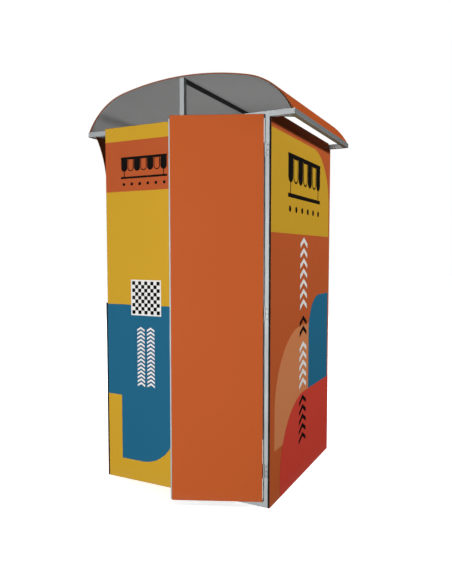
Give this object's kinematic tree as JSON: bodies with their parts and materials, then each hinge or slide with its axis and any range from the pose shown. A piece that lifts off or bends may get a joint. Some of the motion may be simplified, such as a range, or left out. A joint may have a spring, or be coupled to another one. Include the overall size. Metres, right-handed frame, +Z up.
{
  "type": "street kiosk",
  "caption": "Walk-in street kiosk of square aluminium bars and printed boards, with a hinged door, an open serving side and a curved roof that overhangs both sides.",
  "frame": {"origin": "on the ground, at the middle of the ground that the kiosk takes up with its door ajar; the cabin's own middle is 0.096 m behind it", "axes": "+X to the right as seen from the door side, +Y from the door side to the rear, +Z up"},
  "size_m": [1.26, 1.2124, 2.2358],
  "materials": {
    "profile": "satin anodised",
    "dark_profile": "black anodised",
    "roof_sheet": "satin orange sheet",
    "liner_sheet": "matt grey sheet",
    "hood_sheet": "satin orange sheet",
    "front_board": "satin print on foam board with a black edge",
    "side_board": "satin print on foam board with a black edge",
    "door_board": "satin print on foam board with a black edge",
    "hinge_metal": "brushed"
  },
  "bodies": {
    "frame": {"post_front_left_lower": "profile", "post_front_left_upper": "profile", "post_front_right_lower": "profile", "post_front_right_upper": "profile", "post_rear_left_lower": "profile", "post_rear_left_upper": "profile", "post_rear_right_lower": "profile", "post_rear_right_upper": "profile", "door_jamb": "profile", "base_rail_front": "profile", "door_sill": "profile", "base_rail_right": "profile", "base_rail_rear": "profile", "base_rail_left": "profile", "mid_rail_front": "profile", "mid_rail_right": "profile", "mid_rail_rear": "profile", "window_sill_rail": "profile", "top_rail_front": "profile", "top_rail_rear": "profile", "top_rail_left": "profile", "top_rail_right": "profile", "outriggers_left": "profile", "outriggers_right": "profile", "eave_beam_left": "profile", "eave_beam_right": "profile", "king_post_front": "profile", "king_post_rear": "profile", "ridge_beam": "dark_profile", "roof_skin": "roof_sheet", "roof_liner": "liner_sheet", "front_panel": "front_board", "right_panel": "side_board", "rear_panel": "side_board", "left_lower_panel": "side_board", "window_hood": "hood_sheet", "hinge_post_leaves": "hinge_metal"},
    "door": {"door_panel": "door_board", "door_stile_hinge": "profile", "door_stile_free": "profile", "door_top_rail": "profile", "door_mid_rail": "profile", "door_bottom_rail": "profile", "hinge_door_leaves": "hinge_metal"}
  },
  "joints": [
    {"name": "door_hinge", "type": "hinge", "parent": "frame", "child": "door", "pos_m": [0.48, -0.40881, 1], "axis": [0, 0, 1], "range_deg": [-23.5, 86.5]}
  ]
}
